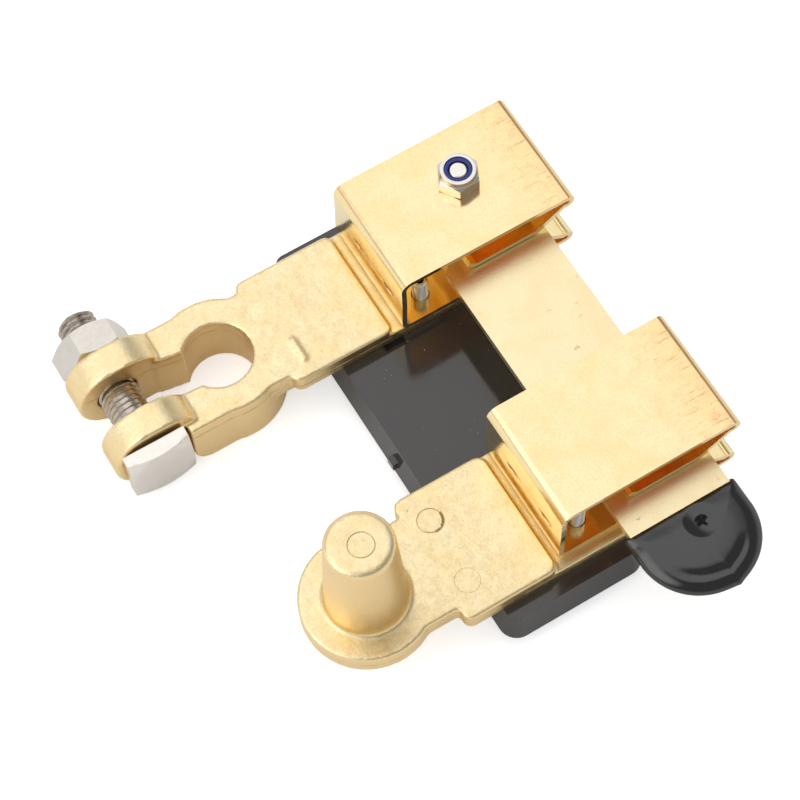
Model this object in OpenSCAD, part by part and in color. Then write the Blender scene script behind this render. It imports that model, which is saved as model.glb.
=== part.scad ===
// Battery terminal disconnect switch with a knife blade, in millimetres.
// X runs along the closed blade from the pivot to the grip, Y from the battery clamp towards the
// jaws, Z up. The origin is where the axis of the battery clamp's hole crosses the plane of the
// base's underside.

/* [Base plate] */
// height of the moulded base plate
base_h = 7.4; // [5:0.1:12]
// depth of the base's underside along Y
base_depth = 37.6; // [34:0.1:42]
// how far the sides lean in between underside and top
base_draft = 1.8; // [0.5:0.1:2.5]
// radius of the upright corners
base_corner_r = 4.5; // [2:0.1:8]
// how far the underside reaches behind the battery clamp's axis
base_back = 20.0; // [18.5:0.1:21]
// how far the underside reaches beyond the contact jaw
base_right = 8.4; // [6:0.1:12]
// distance of the underside's left edge from the jaw wall
base_left = 17.3; // [15:0.1:19]

/* [Cast arms] */
// thickness of the flat part of both cast arms
arm_t = 5.4; // [4:0.1:8]
// width of the clamp arm
arm_w = 31.0; // [29:0.1:33]
// width of the post arm
post_arm_w = 33.8; // [31:0.1:35]
// how far the post arm's middle lies beyond the post's axis
post_arm_shift = 0.6; // [0:0.1:2]
// thickness of the tongue below each jaw
tongue_t = 3.6; // [2:0.1:4.2]
// distance from the jaw wall to the step down to the clamp arm's tongue
step_gap = 1.5; // [0.5:0.1:5]
// distance from the jaw wall to the step down to the post arm's tongue
post_step_gap = 0.8; // [0.5:0.1:5]
// length of the tongue beyond the jaw wall
tongue_len = 38.0; // [34:0.5:44]
// thickness of the clamp arm between the base and the ring
neck_t = 8.5; // [6:0.1:12]
// width of the neck between arm and ring or flange
neck_w = 26.2; // [22:0.1:28]
// radius of the arm's corners in plan
arm_corner_r = 2.2; // [1:0.1:4]
// distance from the battery post's axis to where the clamp arm gets wide
clamp_neck_len = 12.0; // [11:0.1:16]
// distance from the switched post's axis to where the post arm gets wide
post_neck_len = 16.0; // [13:0.1:18]

/* [Battery clamp] */
// diameter of the hole for the battery post
bore_d = 16.8; // [15:0.1:19]
// distance of the battery post's axis from the jaw wall
clamp_out = 40.0; // [36:0.1:48]
// outside radius of the clamp ring
ring_r = 15.4; // [13:0.1:18]
// height of the clamp ring
ring_h = 16.0; // [13:0.1:20]
// width of the slit between the ears
slit_w = 10.8; // [4:0.1:12]
// width of the slit where it leaves the hole
slit_root_w = 9.9; // [6:0.1:11]
// how far the slit's middle is set back from the battery post's axis
slit_back = 1.25; // [0:0.05:2]
// radius of the round ears that the clamp bolt goes through
ear_r = 10.2; // [9:0.1:13]
// how far each ear's round top is drawn out towards the ring
ear_run = 3.9; // [0:0.1:6]
// thickness of each ear along the bolt
ear_t = 8.0; // [5:0.1:9]
// distance of the clamp bolt's axis from the battery post's axis
bolt_out = 24.2; // [20:0.1:27]
// radius of the lower corner of the front ear's shoulder
shoulder_r = 5.0; // [1:0.1:6]
// height of the clamp bolt's axis over the base's underside
bolt_z = 6.6; // [4:0.1:8]

/* [Battery post] */
// diameter of the post's top
post_top_d = 16.0; // [13:0.1:20]
// height of the post above its flange
post_h = 30.0; // [15:0.1:34]
// growth of the post's diameter per millimetre going down
post_taper = 0.111; // [0.05:0.001:0.2]
// distance of the post's axis from the jaw wall
post_out = 41.0; // [36:0.1:48]
// radius of the flange round the post
flange_r = 15.7; // [13:0.1:18]
// thickness of that flange
flange_t = 6.2; // [5:0.1:8]
// radius of the fillet where post and flange meet
post_fillet = 1.0; // [0.5:0.1:4]
// length of the raised bar on the clamp arm
mark_len = 6.6; // [3:0.1:9]

/* [Folded jaws] */
// thickness of the jaw sheet
sheet_t = 1.3; // [0.8:0.05:1.6]
// length of a jaw along the blade
jaw_len = 31.6; // [29:0.1:34]
// depth of a jaw from its wall to its folded edges
jaw_depth = 48.6; // [46:0.1:54]
// height of a jaw from the underside of its floor to its top
jaw_h = 20.3; // [16:0.1:24]
// distance between the two jaws' back edges
jaw_pitch = 68.8; // [64:0.1:74]
// radius of the centre line of the bend between wall and top
wall_bend_r = 2.3; // [1.5:0.1:6]
// how far the wall's upper half stands in towards the blade
upper_in = 1.3; // [0:0.1:3]
// how far the wall's lower half stands in towards the blade
lower_in = 0.9; // [0:0.1:3]
// radius of the centre line of the bend between wall and floor
floor_bend_r = 1.7; // [1:0.1:3]
// radius of the centre line of the folds at the mouth
fold_r = 1.35; // [1:0.05:2]
// distance from the jaw wall to the start of the flat contact
contact_far = 38.4; // [36:0.1:41]
// distance from the jaw wall to the end of the flat contact
contact_near = 21.3; // [20:0.1:23]
// how far the contact fingers' lips reach back towards the wall
lip_len = 1.8; // [1:0.1:3]
// how far those lips lift off the blade
lip_rise = 1.5; // [0.5:0.1:2.5]
// length of the pointed slots in the wall
slot_len = 6.0; // [3:0.1:8]
// height of the pointed slots in the wall
slot_h = 1.9; // [1:0.1:3]
// distance from a jaw's back edge to the middle of its first slot
slot_start = 11.5; // [6:0.1:14]
// distance between the middles of the two slots
slot_pitch = 13.8; // [9:0.1:15]
// distance of each jaw screw from the middle of the jaw
screw_off = 10.0; // [8:0.1:12]
// distance of the jaw screws from the jaw wall
screw_in = 9.2; // [6:0.1:11]

/* [Blade and grip] */
// thickness of the blade
blade_t = 2.2; // [1.5:0.1:3]
// width of the blade
blade_w = 26.5; // [24:0.1:28]
// width of the blade inside the pivot jaw
root_w = 22.4; // [18:0.1:24]
// distance from the pivot to where the blade gets wide
root_len = 15.4; // [13:0.1:17]
// length of the blade inside the grip
grip_len = 21.0; // [17:0.1:26]
// distance from the jaw's back edge to the pivot
pivot_back = 13.8; // [11:0.1:17]
// distance from the jaw wall to the pivot
pivot_in = 27.6; // [26:0.1:30]
// wall thickness of the dipped grip
grip_wall = 1.4; // [0.8:0.1:2]
// gap between the contact jaw and the grip's straight edge
grip_gap = 7.4; // [4:0.1:12]
// diameter of the dimple in the grip
dimple_d = 6.0; // [3:0.1:9]
// distance of the dimple's middle from the grip's straight edge
dimple_in = 5.7; // [4:0.1:10]

/* [Hardware] */
// diameter of the pivot bolt
pivot_d = 4.8; // [4:0.1:6]
// distance over the flats of the pivot bolt's head and nut
pivot_flats = 9.5; // [7:0.1:10]
// height of the pivot lock nut
lock_nut_h = 5.0; // [4:0.1:7]
// height of the pivot bolt's head
pivot_head_h = 3.5; // [2:0.1:4]
// diameter of the clamp bolt
bolt_d = 10.0; // [8:0.5:10]
// length of the clamp bolt under its head
bolt_len = 41.5; // [36:0.5:50]
// width of the clamp bolt's square head
bolt_head_w = 16.0; // [14:0.1:16]
// thickness of the clamp bolt's square head
bolt_head_h = 4.6; // [3:0.1:6]
// how far the corners of the clamp bolt's head are turned down
head_turn = 1.3; // [0.5:0.1:2.5]
// distance over the flats of the clamp nut
clamp_nut_flats = 17.0; // [15:0.1:17]
// thickness of the clamp nut
clamp_nut_h = 8.0; // [6:0.1:9]
// diameter of the jaw screws
screw_d = 4.0; // [3:0.1:5]
// diameter of the jaw screws' heads
screw_head_d = 7.2; // [6:0.1:9]
// height of the jaw screws' heads
screw_head_h = 2.6; // [2:0.1:3]
// how far the jaw screws stand above the jaw's floor
screw_stand = 6.6; // [3:0.1:8]

/* [Fits] */
// gap on each side of the blade between the contact fingers
blade_gap = 0.3; // [0.1:0.05:0.4]
// radial gap between the blade and the pivot bolt, and between clamp nut and bolt
run_gap = 0.05; // [0.02:0.01:0.1]
// radial gap of bolts and screws in their clearance holes
hole_gap = 0.25; // [0.1:0.05:0.5]
// gap between the clamp nut and its ear
nut_gap = 0.3; // [0.1:0.05:0.5]

/* [Hidden] */
$fn = 64;
eps = 0.01;

arm_top = base_h + arm_t;
tongue_top = base_h + tongue_t;
jaw_top = tongue_top + jaw_h;
blade_z = tongue_top + jaw_h / 2;
wall_y = clamp_out;
arm_cx = 0.9;
jaw_x = arm_cx + 0.1 - jaw_len / 2;
post_arm_cx = arm_cx + jaw_pitch + 1.2;
pivot_x = jaw_x + pivot_back;
pivot_y = wall_y + pivot_in;
post_y = wall_y - post_out;
base_len = base_back + jaw_x + jaw_pitch + jaw_len + base_right;
grip_start = jaw_pitch + jaw_len - pivot_back + grip_gap;
blade_reach = grip_start + grip_len;
bolt_y = -bolt_out;
front_ear_x = slit_w / 2 - slit_back;
back_ear_x = front_ear_x - slit_w - ear_t;
screw_xs = [jaw_len / 2 - screw_off, jaw_len / 2 + screw_off];
screw_y = wall_y + screw_in;
insert_d = pivot_d + 2.0;
slot_r = (slot_len * slot_len + slot_h * slot_h) / (4 * slot_h);

// plan shape of a rectangle with round corners
module round_rect(x0, y0, x1, y1, r) {
    union() {
        translate([x0 + r, y0]) square([x1 - x0 - 2 * r, y1 - y0]);
        translate([x0, y0 + r]) square([x1 - x0, y1 - y0 - 2 * r]);
        for (x = [x0 + r, x1 - r], y = [y0 + r, y1 - r]) translate([x, y]) circle(r);
    }
}

// a hexagon standing on its bottom face
module hex(flats, h) {
    cylinder(r = flats / 2 / cos(30), h = h, $fn = 6);
}

// a hexagon with both faces' corners turned down
module hex_turned(flats, h) {
    intersection() {
        hex(flats, h);
        union() {
            cylinder(r1 = flats / 2 * 0.97, r2 = flats / 2 / cos(30) + 0.05, h = flats * 0.06);
            translate([0, 0, flats * 0.06])
                cylinder(r = flats / 2 / cos(30) + 0.05, h = h - flats * 0.12);
            translate([0, 0, h - flats * 0.06])
                cylinder(r1 = flats / 2 / cos(30) + 0.05, r2 = flats / 2 * 0.97, h = flats * 0.06);
        }
    }
}

// holes for the two screws of the jaw whose back edge is at x
module screw_holes(x, z, h) {
    for (dx = screw_xs) translate([x + dx, screw_y, z]) cylinder(d = screw_d + 2 * hole_gap, h = h);
}

// base plate

module base_plate() {
    x0 = -base_back;
    y0 = wall_y - base_left;
    r = base_corner_r;
    color([0.06, 0.06, 0.065]) difference() {
        union() {
            leaning_plate(x0, y0, base_len, base_depth, base_draft, base_h, r);
            // left over from where the moulding was cut off
            translate([x0 + base_len * 0.53, y0 - 0.6, 1.4]) cube([2.6, 2.0, 2.6]);
        }
        // pocket beside the clamp arm
        translate([arm_cx + arm_w / 2 - 1.0, wall_y - step_gap - 3.0, base_h - 1.5])
            cube([3.2, 5.4, 2]);
        for (x = [jaw_x, jaw_x + jaw_pitch]) {
            screw_holes(x, -1, base_h + 2);
            for (dx = screw_xs) translate([x + dx, screw_y, -1])
                cylinder(d = screw_head_d + 0.8, h = screw_head_h + 1);
        }
    }
}

// a plate with round corners whose sides lean in
module leaning_plate(x0, y0, len, depth, draft, h, r) {
    xs = [x0 + r, x0 + len - r];
    ys = [y0 + r, y0 + depth - r];
    union() {
        for (x = xs, y = ys) translate([x, y, 0]) cylinder(r1 = r, r2 = r - draft, h = h);
        // leaning sides as a prism along X and one along Y
        translate([xs[0], 0, 0]) rotate([90, 0, 90]) linear_extrude(xs[1] - xs[0])
            polygon([[y0, 0], [y0 + depth, 0], [y0 + depth - draft, h], [y0 + draft, h]]);
        translate([0, ys[1], 0]) rotate([90, 0, 0]) linear_extrude(ys[1] - ys[0])
            polygon([[x0, 0], [x0 + len, 0], [x0 + len - draft, h], [x0 + draft, h]]);
    }
}

// cast arms

// flat part of an arm, its step and its tongue, with the neck reaching to y_end
module arm_body(cx, w, y_end, neck_len, gap) {
    y_step = wall_y - gap;
    y_arm = y_end + neck_len;
    union() {
        translate([0, 0, base_h]) linear_extrude(arm_t)
            round_rect(cx - w / 2, y_arm, cx + w / 2, y_step, arm_corner_r);
        translate([0, 0, base_h]) linear_extrude(arm_t)
            translate([cx - neck_w / 2, y_end]) square([neck_w, neck_len + arm_corner_r + 1]);
        translate([cx - w / 2, y_step - arm_corner_r - 0.5, base_h])
            cube([w, tongue_len + gap + arm_corner_r + 0.5, tongue_t]);
    }
}

// holes that the tongue of either arm has
module tongue_cuts(x) {
    screw_holes(x, base_h - 1, tongue_t + 2);
}

module clamp_arm() {
    y_neck1 = wall_y - base_left - 1.5;
    ring_z = arm_top - ring_h;
    color([0.80, 0.66, 0.36]) difference() {
        union() {
            arm_body(arm_cx, arm_w, 0, clamp_neck_len, step_gap);
            // thick part between the base and the ring
            translate([arm_cx - neck_w / 2 + 0.6, 0, arm_top - neck_t])
                cube([neck_w - 1.2, y_neck1 - 3, neck_t - 1]);
            translate([arm_cx + neck_w / 2 - 0.6, y_neck1 - 3, arm_top - neck_t])
                rotate([90, 0, -90]) linear_extrude(neck_w - 1.2)
                    polygon([[0, 0], [-3, neck_t - arm_t], [-3, neck_t - 1], [0, neck_t - 1]]);
            translate([0, 0, ring_z]) cylinder(r = ring_r, h = ring_h);
            // arms from the ring to the ears; the front one is wide enough to stop the bolt's head
            translate([back_ear_x, bolt_y, ring_z])
                cube([ear_t, bolt_out, ring_h]);
            translate([front_ear_x, 0, 0]) rotate([90, 0, 90])
                linear_extrude(ring_r - 0.6 - front_ear_x) shoulder(ring_z);
            translate([front_ear_x, bolt_y, ring_z])
                cube([ear_t, bolt_out, ring_h]);
            for (x = [back_ear_x, front_ear_x]) translate([x, bolt_y, bolt_z]) {
                for (dy = [0, ear_run]) translate([0, dy, 0])
                    rotate([0, 90, 0]) cylinder(r = ear_r, h = ear_t);
                translate([0, 0, -ear_r]) cube([ear_t, ear_run, 2 * ear_r]);
            }
            // raised bar
            translate([5.6, 16.5, arm_top - eps]) cube([mark_len, 0.9, 0.4]);
        }
        translate([0, 0, ring_z - 1]) cylinder(d = bore_d, h = ring_h + 20);
        // slit, a little wider between the ears than at the hole
        translate([0, 0, ring_z - 10]) linear_extrude(ring_h + 30) polygon([
            [slit_root_w / 2, 0], [slit_root_w / 2, -bore_d * 0.4],
            [front_ear_x, bolt_y + ear_r * 0.7], [front_ear_x, bolt_y - ear_r - 1],
            [front_ear_x - slit_w, bolt_y - ear_r - 1], [front_ear_x - slit_w, bolt_y + ear_r * 0.7],
            [-slit_root_w / 2, -bore_d * 0.4], [-slit_root_w / 2, 0]]);
        translate([back_ear_x - 1, bolt_y, bolt_z]) rotate([0, 90, 0])
            cylinder(d = bolt_d + 2 * hole_gap, h = slit_w + 2 * ear_t + 2);
        tongue_cuts(jaw_x);
        translate([pivot_x, pivot_y, base_h - 1]) cylinder(d = pivot_d + 2 * hole_gap, h = tongue_t + 2);
    }
}

// side view of the front ear's shoulder, with its lower corner round
module shoulder(z) {
    y = bolt_y + bolt_head_w / 2 + 0.8;
    polygon(concat([[0, z], [0, arm_top], [y, arm_top]],
        arc(y + shoulder_r, z + shoulder_r, shoulder_r, 180, 270, 6)));
}

module post_arm() {
    base_r = post_top_d / 2 + post_h * post_taper / 2;
    fr = post_fillet;
    color([0.80, 0.66, 0.36]) difference() {
        union() {
            arm_body(post_arm_cx + post_arm_shift, post_arm_w, post_y, post_neck_len, post_step_gap);
            translate([post_arm_cx, post_y, arm_top - flange_t])
                cylinder(r = flange_r, h = flange_t);
            // post with a round top edge and a fillet at its foot
            translate([post_arm_cx, post_y, arm_top - 1]) rotate_extrude() polygon(concat(
                [[0, 0], [base_r + fr, 0], [base_r + fr, 1]],
                [for (a = [75 : -15 : 15]) [base_r + fr - fr * cos(a), 1 + fr - fr * sin(a)]],
                [[post_top_d / 2 + 0.12, post_h - 0.2],
                 [post_top_d / 2 - 0.3, post_h + 0.7], [post_top_d / 2 - 1.2, post_h + 1],
                 [0, post_h + 1]]));
        }
        tongue_cuts(jaw_x + jaw_pitch);
    }
}

// folded jaws

function arc(cx, cy, r, a0, a1, n) =
    [for (i = [0 : n]) [cx + r * cos(a0 + (a1 - a0) * i / n), cy + r * sin(a0 + (a1 - a0) * i / n)]];

function unit(v) = v / norm(v);
function left_of(v) = [-v[1], v[0]];

// points beside a path, at distance d to its left
function beside(p, d) = [for (i = [0 : len(p) - 1])
    let (a = i > 0 ? unit(p[i] - p[i - 1]) : unit(p[1] - p[0]),
         b = i < len(p) - 1 ? unit(p[i + 1] - p[i]) : a,
         m = unit(left_of(a) + left_of(b)))
    p[i] + m * d / (m * left_of(a))];

function reversed(p) = [for (i = [len(p) - 1 : -1 : 0]) p[i]];

// upper half of the jaw's centre line in Y and Z, from the middle of the wall to the lip
function half_path() =
    let (t = sheet_t / 2,
         top = jaw_h / 2 - t,
         fin = blade_t / 2 + blade_gap + t,
         fx = jaw_depth - t - fold_r,
         slope = atan((top - 2 * fold_r - fin) / (fx - contact_far)),
         end = 90 + slope)
    concat([[t + upper_in - 0.1, 0]],
        [[t + upper_in, top - wall_bend_r - 2.5]],
        arc(t + upper_in + wall_bend_r, top - wall_bend_r, wall_bend_r, 180, 90, 6),
        arc(fx, top - fold_r, fold_r, 90, -end, 7),
        [[contact_far, fin], [contact_near, fin], [contact_near - lip_len, fin + lip_rise]]);

function lower_half() =
    let (t = sheet_t / 2,
         top = jaw_h / 2 - t,
         fin = blade_t / 2 + blade_gap + t,
         fx = jaw_depth - t - fold_r,
         slope = atan((top - 2 * fold_r - fin) / (fx - contact_far)),
         end = 90 + slope,
         w = t + lower_in)
    concat([[w, -top + floor_bend_r + 2.0]],
        arc(w + floor_bend_r, -top + floor_bend_r, floor_bend_r, 180, 270, 5),
        [for (q = arc(fx, top - fold_r, fold_r, 90, -end, 7)) [q[0], -q[1]]],
        [[contact_far, -fin], [contact_near, -fin], [contact_near - lip_len, -fin - lip_rise]]);

module jaw(x) {
    path = concat(reversed(half_path()), lower_half());
    translate([x, wall_y, blade_z]) difference() {
        rotate([90, 0, 90]) linear_extrude(jaw_len)
            polygon(concat(beside(path, sheet_t / 2), reversed(beside(path, -sheet_t / 2))));
        // pointed slots in the wall, each between two arcs
        for (dx = [slot_start, slot_start + slot_pitch]) translate([dx, -2, 0]) rotate([-90, 0, 0])
            intersection_for (side = [-1, 1]) translate([0, side * (slot_r - slot_h / 2), 0])
                cylinder(r = slot_r, h = upper_in + sheet_t + 4);
        for (dx = screw_xs) translate([dx, screw_in, -jaw_h])
            cylinder(d = screw_d + 2 * hole_gap, h = jaw_h);
    }
}

module pivot_jaw() {
    color([0.83, 0.66, 0.33]) difference() {
        jaw(jaw_x);
        translate([pivot_x, pivot_y, base_h]) cylinder(d = pivot_d + 2 * hole_gap, h = jaw_h + 10);
    }
}

module contact_jaw() {
    color([0.83, 0.66, 0.33]) jaw(jaw_x + jaw_pitch);
}

// blade and grip

// plan shape of the blade, larger by g
module blade_plan(g) {
    r_end = blade_w / 2;
    union() {
        translate([blade_reach - r_end, 0]) circle(r_end + g);
        translate([root_len, -blade_w / 2 - g]) square([blade_reach - r_end - root_len, blade_w + 2 * g]);
        polygon([[0, -root_w / 2], [root_len - 2.0, -root_w / 2], [root_len + eps, -blade_w / 2],
            [root_len + eps, blade_w / 2], [root_len - 2.0, root_w / 2], [0, root_w / 2]]);
        circle(root_w / 2);
    }
}

module blade() {
    color([0.86, 0.72, 0.42]) translate([pivot_x, pivot_y, 0]) difference() {
        translate([0, 0, blade_z - blade_t / 2]) linear_extrude(blade_t) blade_plan(0);
        translate([0, 0, blade_z - blade_t]) cylinder(d = pivot_d + 2 * run_gap, h = 2 * blade_t);
    }
}

module handle_grip() {
    r_end = blade_w / 2;
    h = blade_t + 2 * grip_wall;
    cx = blade_reach - r_end;
    color([0.05, 0.05, 0.055]) translate([pivot_x, pivot_y, 0]) difference() {
        translate([0, 0, blade_z]) intersection() {
            union() {
                // outline steps in near the top and bottom faces
                for (s = [[0, h / 2 - 0.9], [-0.45, h / 2 - 0.3], [-1.2, h / 2]])
                    translate([0, 0, -s[1]]) linear_extrude(2 * s[1]) union() {
                        translate([cx, 0]) circle(r_end + grip_wall + s[0]);
                        translate([grip_start - s[0] * 0.4, -r_end - grip_wall - s[0]])
                            square([cx - grip_start + s[0] * 0.4, 2 * (r_end + grip_wall + s[0])]);
                    }
            }
            translate([grip_start, -blade_w, -h]) cube([grip_len + blade_w, 2 * blade_w, 2 * h]);
        }
        translate([0, 0, blade_z - blade_t / 2]) linear_extrude(blade_t) blade_plan(0);
        translate([grip_start + dimple_in, 2.4, blade_z + h / 2 + dimple_d * 0.9])
            sphere(r = dimple_d * 0.95 + 0.4, $fn = 48);
    }
}

// hardware

module pivot_bolt() {
    color([0.72, 0.72, 0.73]) translate([pivot_x, pivot_y, 0]) union() {
        translate([0, 0, base_h - pivot_head_h]) hex_turned(pivot_flats, pivot_head_h);
        translate([0, 0, base_h - eps])
            cylinder(d = pivot_d, h = jaw_top - base_h + lock_nut_h - 0.9 + eps);
        translate([0, 0, jaw_top + lock_nut_h - 0.9])
            cylinder(d1 = pivot_d, d2 = pivot_d - 1.0, h = 0.5);
    }
}

module pivot_lock_nut() {
    color([0.74, 0.74, 0.75]) translate([pivot_x, pivot_y, 0]) difference() {
        union() {
            translate([0, 0, jaw_top]) rotate([0, 0, 34])
                hex_turned(pivot_flats, lock_nut_h - 1.3);
            translate([0, 0, jaw_top + lock_nut_h - 1.7])
                cylinder(d1 = pivot_flats - 0.15, d2 = pivot_flats - 0.9, h = 1.7);
        }
        translate([0, 0, jaw_top - 1]) cylinder(d = pivot_d + 2 * run_gap, h = lock_nut_h + 2);
        translate([0, 0, jaw_top + lock_nut_h - 1.5]) cylinder(d = insert_d, h = 2);
    }
}

module lock_nut_insert() {
    color([0.07, 0.10, 0.32]) translate([pivot_x, pivot_y, jaw_top + lock_nut_h - 1.5]) difference() {
        cylinder(d = insert_d, h = 1.2);
        translate([0, 0, -1]) cylinder(d = pivot_d + 2 * run_gap, h = 4);
    }
}

module clamp_bolt() {
    x_head = front_ear_x + ear_t;
    c = 0.8;
    color([0.72, 0.71, 0.70]) translate([x_head, bolt_y, bolt_z]) union() {
        intersection() {
            translate([0, -bolt_head_w / 2, -bolt_head_w / 2])
                cube([bolt_head_h, bolt_head_w, bolt_head_w]);
            // the outer face's corners are turned down
            rotate([0, 90, 0]) union() {
                cylinder(r = bolt_head_w * 0.72, h = bolt_head_h - head_turn);
                translate([0, 0, bolt_head_h - head_turn - eps])
                    cylinder(r1 = bolt_head_w * 0.72, r2 = bolt_head_w * 0.5, h = head_turn + eps);
            }
        }
        rotate([0, -90, 0]) cylinder(d = bolt_d, h = bolt_len - c);
        translate([-bolt_len + c, 0, 0]) rotate([0, -90, 0])
            cylinder(d1 = bolt_d, d2 = bolt_d - 2 * c, h = c);
    }
}

module clamp_nut() {
    color([0.74, 0.74, 0.75]) translate([back_ear_x - nut_gap - clamp_nut_h, bolt_y, bolt_z])
        rotate([0, 90, 0]) difference() {
            rotate([0, 0, 22]) hex_turned(clamp_nut_flats, clamp_nut_h);
            translate([0, 0, -1]) cylinder(d = bolt_d + 2 * run_gap, h = clamp_nut_h + 2);
        }
}

module jaw_screw(x, dx) {
    z_tip = tongue_top + sheet_t + screw_stand;
    color([0.72, 0.72, 0.73]) translate([x + dx, screw_y, 0]) union() {
        cylinder(d = screw_head_d, h = screw_head_h);
        cylinder(d = screw_d, h = z_tip - 0.4);
        translate([0, 0, z_tip - 0.4 - eps]) cylinder(d1 = screw_d, d2 = screw_d - 0.8, h = 0.4 + eps);
    }
}

base_plate();
clamp_arm();
post_arm();
pivot_jaw();
contact_jaw();
blade();
handle_grip();
pivot_bolt();
pivot_lock_nut();
lock_nut_insert();
clamp_bolt();
clamp_nut();
pivot_jaw_screw_back();
pivot_jaw_screw_front();
contact_jaw_screw_back();
contact_jaw_screw_front();

module pivot_jaw_screw_back() { jaw_screw(jaw_x, screw_xs[0]); }
module pivot_jaw_screw_front() { jaw_screw(jaw_x, screw_xs[1]); }
module contact_jaw_screw_back() { jaw_screw(jaw_x + jaw_pitch, screw_xs[0]); }
module contact_jaw_screw_front() { jaw_screw(jaw_x + jaw_pitch, screw_xs[1]); }
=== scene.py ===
import math

import bmesh
import bpy
import numpy as np
from mathutils import Matrix, Vector, noise


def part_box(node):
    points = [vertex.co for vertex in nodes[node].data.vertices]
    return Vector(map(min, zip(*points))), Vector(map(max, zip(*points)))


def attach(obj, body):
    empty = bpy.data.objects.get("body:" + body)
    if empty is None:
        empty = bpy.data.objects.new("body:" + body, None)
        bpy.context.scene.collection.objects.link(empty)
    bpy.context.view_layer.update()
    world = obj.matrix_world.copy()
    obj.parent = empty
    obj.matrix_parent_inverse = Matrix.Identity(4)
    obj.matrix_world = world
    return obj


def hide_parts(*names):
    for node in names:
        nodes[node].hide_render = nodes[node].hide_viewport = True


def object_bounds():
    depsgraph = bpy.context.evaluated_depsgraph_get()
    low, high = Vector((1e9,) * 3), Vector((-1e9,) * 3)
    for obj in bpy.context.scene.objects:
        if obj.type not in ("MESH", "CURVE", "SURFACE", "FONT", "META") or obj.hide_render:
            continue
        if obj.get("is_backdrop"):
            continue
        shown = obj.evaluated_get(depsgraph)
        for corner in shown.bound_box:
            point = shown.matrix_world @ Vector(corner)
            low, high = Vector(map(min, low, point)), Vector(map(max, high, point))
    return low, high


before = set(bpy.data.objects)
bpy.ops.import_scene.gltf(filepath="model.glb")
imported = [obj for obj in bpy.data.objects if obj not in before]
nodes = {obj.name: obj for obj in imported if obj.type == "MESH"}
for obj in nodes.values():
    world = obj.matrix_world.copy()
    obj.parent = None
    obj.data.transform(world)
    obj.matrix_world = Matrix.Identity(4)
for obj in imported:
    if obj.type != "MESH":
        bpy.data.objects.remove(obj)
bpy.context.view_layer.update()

MM = 0.001

# Strength of the white tent: its light on the part, then its sides and top as gloss mirrors them
WORLD_DIFFUSE = 0.70
WORLD_SIDES = 0.97
WORLD_TOP = 0.33
# Sines of the height where the tent's sides end and where its top starts
TOP_FROM = (0.2, 0.6)
# The tent's two soft lights as gloss mirrors them: direction, cosines where each fades out and is
# full, and strength
SOFT_LIGHT = ((-0.438, 0.04, 0.898), 0.86, 0.96, 0.99)
FRONT_LIGHT = ((-0.08, -0.63, 0.772), 0.86, 0.985, 1.8)
# The lamps that light the part: name, offset from its middle, size in metres, power in watts
LAMPS = (("soft_box", (-0.40, 0.04, 0.82), (0.8, 0.8), 1.85),
         ("strip_box", (0.05, -0.75, 0.58), (1.05, 0.26), 1.5))
LIT_MIDDLE = (35, 35, 0)
# The floor: half its width in metres, its white, and how much it glows to the camera and in gloss
FLOOR_SIDE = 6.0
FLOOR_WHITE = 0.92
FLOOR_GLOW = 0.52
FLOOR_GLOSS_GLOW = 0.06

# Camera: the photograph's view, found from the straight edges of the part
VIEW_AZIMUTH = 63.80
VIEW_ELEVATION = 63.78
VIEW_ROLL = 5.15
VIEW_TARGET = Vector((31.77, 31.06, 10.0)) * MM
VIEW_DISTANCE = 582.68 * MM
VIEW_LENS = 111.8


def node_box(name):
    """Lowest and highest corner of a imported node."""
    lo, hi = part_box(name)
    return np.array(lo), np.array(hi)


# Places that several pieces share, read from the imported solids
blade_lo, blade_hi = node_box("blade")
grip_lo, grip_hi = node_box("handle_grip")
jaw_lo, jaw_hi = node_box("pivot_jaw")
BLADE_Z = (blade_lo[2] + blade_hi[2]) / 2


def make_camera():
    """The camera that sees the part as the photograph does."""
    az, el, roll = (math.radians(a) for a in (VIEW_AZIMUTH, VIEW_ELEVATION, VIEW_ROLL))
    back = Vector((math.sin(az) * math.cos(el), -math.cos(az) * math.cos(el), math.sin(el)))
    right = Vector((math.cos(az), math.sin(az), 0))
    up = back.cross(right)
    turned_right = right * math.cos(roll) - up * math.sin(roll)
    turned_up = right * math.sin(roll) + up * math.cos(roll)
    data = bpy.data.cameras.new("camera")
    data.sensor_width = 36
    data.lens = VIEW_LENS
    data.clip_start = 0.01
    data.clip_end = 20
    cam = bpy.data.objects.new("camera", data)
    bpy.context.scene.collection.objects.link(cam)
    turn = Matrix((turned_right, turned_up, back)).transposed().to_4x4()
    cam.matrix_world = Matrix.Translation(VIEW_TARGET + back * VIEW_DISTANCE) @ turn
    bpy.context.scene.camera = cam


# Shader helpers

def material(name, colour, roughness, metallic=0.0, **sockets):
    """A material with one Principled shader, and its node tree and shader."""
    mat = bpy.data.materials.new(name)
    mat.use_nodes = True
    shader = mat.node_tree.nodes["Principled BSDF"]
    shader.inputs["Base Color"].default_value = (*colour, 1)
    shader.inputs["Roughness"].default_value = roughness
    shader.inputs["Metallic"].default_value = metallic
    for key, value in sockets.items():
        shader.inputs[key.replace("_", " ")].default_value = value
    return mat, mat.node_tree, shader


def put(tree, kind, inputs=None, **settings):
    """A new shader node. An input is a plain value, or a socket to link from."""
    n = tree.nodes.new("ShaderNode" + kind)
    for key, value in settings.items():
        setattr(n, key, value)
    for key, value in (inputs or {}).items():
        if isinstance(value, bpy.types.NodeSocket):
            tree.links.new(value, n.inputs[key])
        else:
            n.inputs[key].default_value = value
    return n


def place_of(tree):
    return put(tree, "TexCoord").outputs["Object"]


def stretched(tree, place, scale):
    return put(tree, "Mapping", {"Vector": place, "Scale": scale}).outputs["Vector"]


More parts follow.
